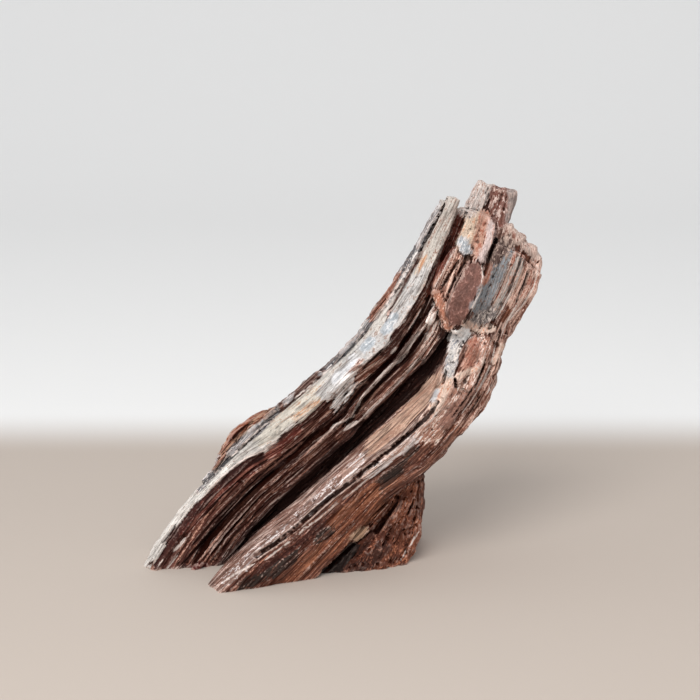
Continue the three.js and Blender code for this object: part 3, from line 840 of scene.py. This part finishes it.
def thin_out(piece):
    """Brings the mesh under its most triangles, with the fewest where it is flat."""
    triangles = sum(len(face.vertices) - 2 for face in piece.data.polygons)
    decimate = piece.modifiers.new("thin", "DECIMATE")
    decimate.ratio = min(1.0, MOST_TRIANGLES / triangles)
    decimate.use_collapse_triangulate = True
    apply_modifiers(piece)


def drop_crumbs(piece):
    """Leaves one closed surface: drops faces without area, and every loose bit but the largest."""
    form = bmesh.new()
    form.from_mesh(piece.data)
    bmesh.ops.dissolve_degenerate(form, edges=form.edges, dist=SHORTEST_EDGE)
    waiting = set(form.verts)
    parts = []
    while waiting:
        part = [waiting.pop()]
        for point in part:
            for edge in point.link_edges:
                other = edge.other_vert(point)
                if other in waiting:
                    waiting.remove(other)
                    part.append(other)
        parts.append(part)
    parts.sort(key=len)
    crumbs = [point for part in parts[:-1] for point in part]
    bmesh.ops.delete(form, geom=crumbs, context="VERTS")
    form.to_mesh(piece.data)
    form.free()


def paint(piece):
    """Writes the finishes and the grain coordinates of every point to the mesh."""
    mesh = piece.data
    points = read_points(mesh)
    grain = Grain(points, read_normals(mesh))
    columns = (BASE, STREAK, SHARE, GLOSS, LINES)
    over, shares = grain.patched(columns)
    opaque = np.ones((len(points), 1))
    for prefix, values in (("band", grain.banded(columns)), ("patch", over)):
        for name, first in (("_base", 0), ("_streak", 3)):
            shade = np.concatenate((values[:, first:first + 3], opaque), axis=1)
            set_attribute(mesh, prefix + name, "FLOAT_COLOR", shade)
        set_attribute(mesh, prefix + "_traits", "FLOAT_VECTOR", values[:, 6:9])
    set_attribute(mesh, "patch_share", "FLOAT", shares)
    set_attribute(mesh, "dark_gap", "FLOAT", grain.gap_to(DARK_LINES))
    set_attribute(mesh, "pale_gap", "FLOAT", grain.gap_to(PALE_LINES))
    set_attribute(mesh, "grain", "FLOAT_VECTOR", np.stack((grain.way, grain.layer, grain.depth), axis=1))


# Materials

class Tree:
    """Short ways to make and join shader nodes."""

    def __init__(self, name):
        self.material = bpy.data.materials.new(name)
        self.material.use_nodes = True
        self.nodes = self.material.node_tree.nodes
        self.links = self.material.node_tree.links
        self.shader = self.nodes["Principled BSDF"]

    def put(self, socket, value):
        if isinstance(value, bpy.types.NodeSocket):
            self.links.new(value, socket)
        else:
            socket.default_value = value

    def math(self, operation, first, second=0.0, third=0.0):
        node = self.nodes.new("ShaderNodeMath")
        node.operation = operation
        for socket, value in zip(node.inputs, (first, second, third)):
            self.put(socket, value)
        return node.outputs[0]

    def times(self, first, second):
        return self.math("MULTIPLY", first, second)

    def linear(self, value, slope, start):
        return self.math("MULTIPLY_ADD", value, slope, start)

    def attribute(self, name, output):
        node = self.nodes.new("ShaderNodeAttribute")
        node.attribute_name = name
        return node.outputs[output]

    def scaled(self, vector, factors):
        node = self.nodes.new("ShaderNodeVectorMath")
        node.operation = "MULTIPLY"
        self.put(node.inputs[0], vector)
        node.inputs[1].default_value = factors
        return node.outputs[0]

    def noise(self, vector, factors, detail, seed):
        node = self.nodes.new("ShaderNodeTexNoise")
        node.noise_dimensions = "4D"
        self.put(node.inputs["Vector"], self.scaled(vector, factors))
        node.inputs["W"].default_value = seed
        node.inputs["Scale"].default_value = 1.0
        node.inputs["Detail"].default_value = detail
        node.inputs["Roughness"].default_value = 0.6
        return node.outputs["Fac"]

    def ramp(self, value, low, high, start=0.0, end=1.0):
        node = self.nodes.new("ShaderNodeMapRange")
        node.interpolation_type = "SMOOTHSTEP"
        for name, part in (("Value", value), ("From Min", low), ("From Max", high), ("To Min", start),
                           ("To Max", end)):
            self.put(node.inputs[name], part)
        return node.outputs["Result"]

    def distance(self, value, middle):
        return self.math("ABSOLUTE", self.math("SUBTRACT", value, middle))

    def blend(self, share, first, second):
        """From the first number to the second."""
        node = self.nodes.new("ShaderNodeMix")
        for place, value in ((0, share), (2, first), (3, second)):
            self.put(node.inputs[place], value)
        return node.outputs["Result"]

    def mix(self, share, first, second):
        """From the first colour to the second."""
        node = self.nodes.new("ShaderNodeMix")
        node.data_type = "RGBA"
        self.put(node.inputs["Factor"], share)
        self.put(node.inputs["A"], first)
        self.put(node.inputs["B"], second)
        return node.outputs["Result"]


def rock_material():
    tree = Tree("layered_rock")
    grain = tree.attribute("grain", "Vector")
    stand_out = tree.attribute("stand_out", "Fac")
    hollow = tree.attribute("hollow", "Fac")

    blotches = tree.noise(grain, (0.22, 0.42, 0.32), 3.0, 1.0)
    streaks = tree.noise(grain, (0.040, 0.80, 0.18), 2.0, 2.0)
    specks = tree.noise(grain, (0.8, 1.5, 1.2), 1.0, 3.0)
    first_lines = tree.noise(grain, (0.026, 0.55, 0.10), 1.0, 4.0)
    second_lines = tree.noise(grain, (0.034, 0.80, 0.14), 1.0, 5.0)
    broad = tree.noise(grain, (0.04, 0.16, 0.08), 1.0, 6.0)
    fine, streaky, blotchy = (tree.math("SUBTRACT", value, 0.5) for value in (specks, streaks, blotches))

    ragged = tree.linear(streaky, 1.0, tree.attribute("patch_share", "Fac"))
    ragged = tree.linear(blotchy, 0.5, ragged)
    on_patch = tree.ramp(ragged, 0.44, 0.56)
    base, streak, traits = (tree.mix(on_patch, tree.attribute("band_" + name, "Color"),
                                     tree.attribute("patch_" + name, "Color"))
                            for name in ("base", "streak", "traits"))
    split = tree.nodes.new("ShaderNodeSeparateColor")
    tree.put(split.inputs[0], traits)
    share, gloss, lines = split.outputs

    pattern = tree.blend(lines, blotches, streaks)
    pattern = tree.linear(fine, 0.40, pattern)
    edge = tree.linear(share, -0.40, 0.70)
    second = tree.ramp(pattern, tree.math("SUBTRACT", edge, 0.03), tree.math("ADD", edge, 0.03))
    pale = tree.ramp(tree.distance(first_lines, 0.5), 0.015, 0.055, 1.0, 0.0)
    pale = tree.times(pale, tree.ramp(broad, 0.40, 0.54))
    pale = tree.times(pale, lines)
    rock = tree.mix(tree.math("MAXIMUM", second, pale), base, streak)

    # Pale crests: partly worn edges, partly a painted highlight that is stronger on glossier finishes.
    crest_wear_and_highlight = tree.ramp(tree.linear(fine, 0.35, stand_out), 0.04, 0.22)
    crest_strength = tree.times(tree.linear(lines, 0.32, 0.26), tree.math("MINIMUM", tree.times(gloss, 3.0), 1.0))
    crest_wear_and_highlight = tree.times(crest_wear_and_highlight, crest_strength)
    rock = tree.mix(crest_wear_and_highlight, rock, (*CREST_WEAR_AND_HIGHLIGHT, 1))

    dark = tree.ramp(tree.distance(second_lines, 0.46), 0.015, 0.055, 1.0, 0.0)
    dark = tree.times(dark, tree.ramp(streaks, 0.60, 0.42))
    dark = tree.times(dark, lines)
    # Painted shade: the colour turns towards the gap colour in valleys, below a point's near surroundings.
    valley_shade = tree.ramp(tree.linear(fine, 0.25, stand_out), -0.05, -0.30)
    dark = tree.math("MAXIMUM", dark, valley_shade)
    rock = tree.mix(tree.times(dark, 0.72), rock, (*GAP_SHADE, 1))

    waver = tree.linear(streaky, 3.0, tree.times(fine, 2.0))
    # Pale fine lines: partly pale seams, partly painted highlights along ledge tops and edges.
    pale_gap = tree.math("ADD", tree.attribute("pale_gap", "Fac"), waver)
    pale_line = tree.ramp(pale_gap, -0.4, 0.5, 0.92, 0.0)
    rock = tree.mix(pale_line, rock, (*PALE_SHADE, 1))
    # Dark fine lines: partly the rock's dark joints, partly painted shade in crevices and under lips.
    dark_gap = tree.math("SUBTRACT", tree.attribute("dark_gap", "Fac"), waver)
    dark_line = tree.ramp(dark_gap, -0.4, 0.5, 0.96, 0.0)
    rock = tree.mix(dark_line, rock, (*LINE_SHADE, 1))

    # Painted shade: the colour darkens in hollows, by how far a point lies below its far surroundings.
    shade = tree.ramp(hollow, -1.6, 0.1, 0.55, 1.0)
    # The mottle and the cloud are the rock's own uneven tone.
    mottle = tree.ramp(pattern, 0.30, 0.70, 0.70, 1.30)
    cloud = tree.ramp(tree.noise(grain, (0.10, 0.30, 0.15), 2.0, 7.0), 0.35, 0.65, 0.88, 1.12)
    hollow_shade_and_mottle = tree.times(tree.times(shade, mottle), cloud)
    toned = tree.nodes.new("ShaderNodeVectorMath")
    toned.operation = "SCALE"
    tree.put(toned.inputs[0], rock)
    tree.put(toned.inputs["Scale"], hollow_shade_and_mottle)
    tree.put(tree.shader.inputs["Base Color"], toned.outputs[0])

    dull = tree.linear(gloss, -0.40, 0.86)
    tree.put(tree.shader.inputs["Roughness"], tree.linear(fine, 0.35, dull))
    unlit = tree.math("MAXIMUM", dark, dark_line)
    tree.put(tree.shader.inputs["Specular IOR Level"], tree.linear(unlit, -0.35, 0.35))

    height = tree.linear(specks, 0.45, pattern)
    height = tree.linear(dark, -0.5, height)
    height = tree.linear(dark_line, -0.8, height)
    height = tree.linear(pale, 0.3, height)
    bump = tree.nodes.new("ShaderNodeBump")
    bump.inputs["Strength"].default_value = 1.0
    bump.inputs["Distance"].default_value = 1.0 * MM
    tree.put(bump.inputs["Height"], height)
    tree.put(tree.shader.inputs["Normal"], bump.outputs["Normal"])
    return tree.material


# Stage, lights and camera

def stage_material():
    """Pale sand colour near the stone, turning to pale grey behind it."""
    tree = Tree("pale_floor")
    place = tree.nodes.new("ShaderNodeTexCoord")
    split = tree.nodes.new("ShaderNodeSeparateXYZ")
    tree.put(split.inputs[0], place.outputs["Object"])
    share = tree.ramp(split.outputs["Y"], 0.18, 0.27)
    shade = tree.mix(share, (*FLOOR_SHADE, 1), (*BACKDROP_SHADE, 1))
    tree.put(tree.shader.inputs["Base Color"], shade)
    tree.shader.inputs["Roughness"].default_value = 0.9
    return tree.material


def make_stage():
    """A floor that curves up into a backdrop."""
    half_width, near, start, radius, top = 6.0, -6.0, 0.9, 0.8, 3.0
    steps = 16
    profile = [(near, 0.0)]
    for step in range(steps + 1):
        turn = math.radians(90 * step / steps)
        profile.append((start + radius * math.sin(turn), radius * (1 - math.cos(turn))))
    profile.append((start + radius, top))
    points = [(side * half_width, y, z) for y, z in profile for side in (-1, 1)]
    faces = [(2 * k, 2 * k + 1, 2 * k + 3, 2 * k + 2) for k in range(len(profile) - 1)]
    mesh = bpy.data.meshes.new("floor")
    mesh.from_pydata(points, [], faces)
    mesh.shade_smooth()
    mesh.materials.append(stage_material())
    floor = bpy.data.objects.new("floor", mesh)
    bpy.context.scene.collection.objects.link(floor)


def make_light(name, place, aim, size, power, shade):
    lamp = bpy.data.lights.new(name, "AREA")
    lamp.shape = "DISK"
    lamp.size = size
    lamp.energy = power
    lamp.color = shade
    made = bpy.data.objects.new(name, lamp)
    made.location = place
    made.rotation_euler = (Vector(aim) - Vector(place)).to_track_quat("-Z", "Y").to_euler()
    bpy.context.scene.collection.objects.link(made)


def make_world():
    world = bpy.data.worlds.new("studio")
    bpy.context.scene.world = world
    world.use_nodes = True
    background = world.node_tree.nodes["Background"]
    background.inputs["Color"].default_value = (0.98, 0.99, 1.0, 1)
    background.inputs["Strength"].default_value = WORLD_STRENGTH


def make_camera():
    data = bpy.data.cameras.new("camera")
    data.sensor_width = SENSOR_WIDTH
    data.lens = SENSOR_WIDTH * EYE_DISTANCE / (2 * PICTURE_MIDDLE * PIXEL)
    camera = bpy.data.objects.new("camera", data)
    camera.location = Vector(EYE * MM)
    camera.rotation_euler = Vector(SIGHT).to_track_quat("-Z", "Y").to_euler()
    bpy.context.scene.collection.objects.link(camera)
    bpy.context.scene.camera = camera


def make_stone():
    piece = even_surface(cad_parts["wood_stone"])
    draw_in_corner(piece)
    wear_edges(piece)
    carve(piece)
    thin_out(piece)
    drop_crumbs(piece)
    paint(piece)
    write_points(piece.data, read_points(piece.data) * MM)
    piece.data.materials.clear()
    piece.data.materials.append(rock_material())
    piece.data.set_sharp_from_angle(angle=SHARP_ANGLE)
    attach(piece, "root")
    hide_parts("wood_stone")


make_stone()
make_stage()
make_world()
make_light("key_light", place=(-0.16, -0.74, 0.95), aim=(0.0, 0.0, 0.08), size=0.6, power=9.5,
           shade=(1.0, 0.98, 0.95))
make_camera()
bpy.context.scene.view_settings.view_transform = "Standard"
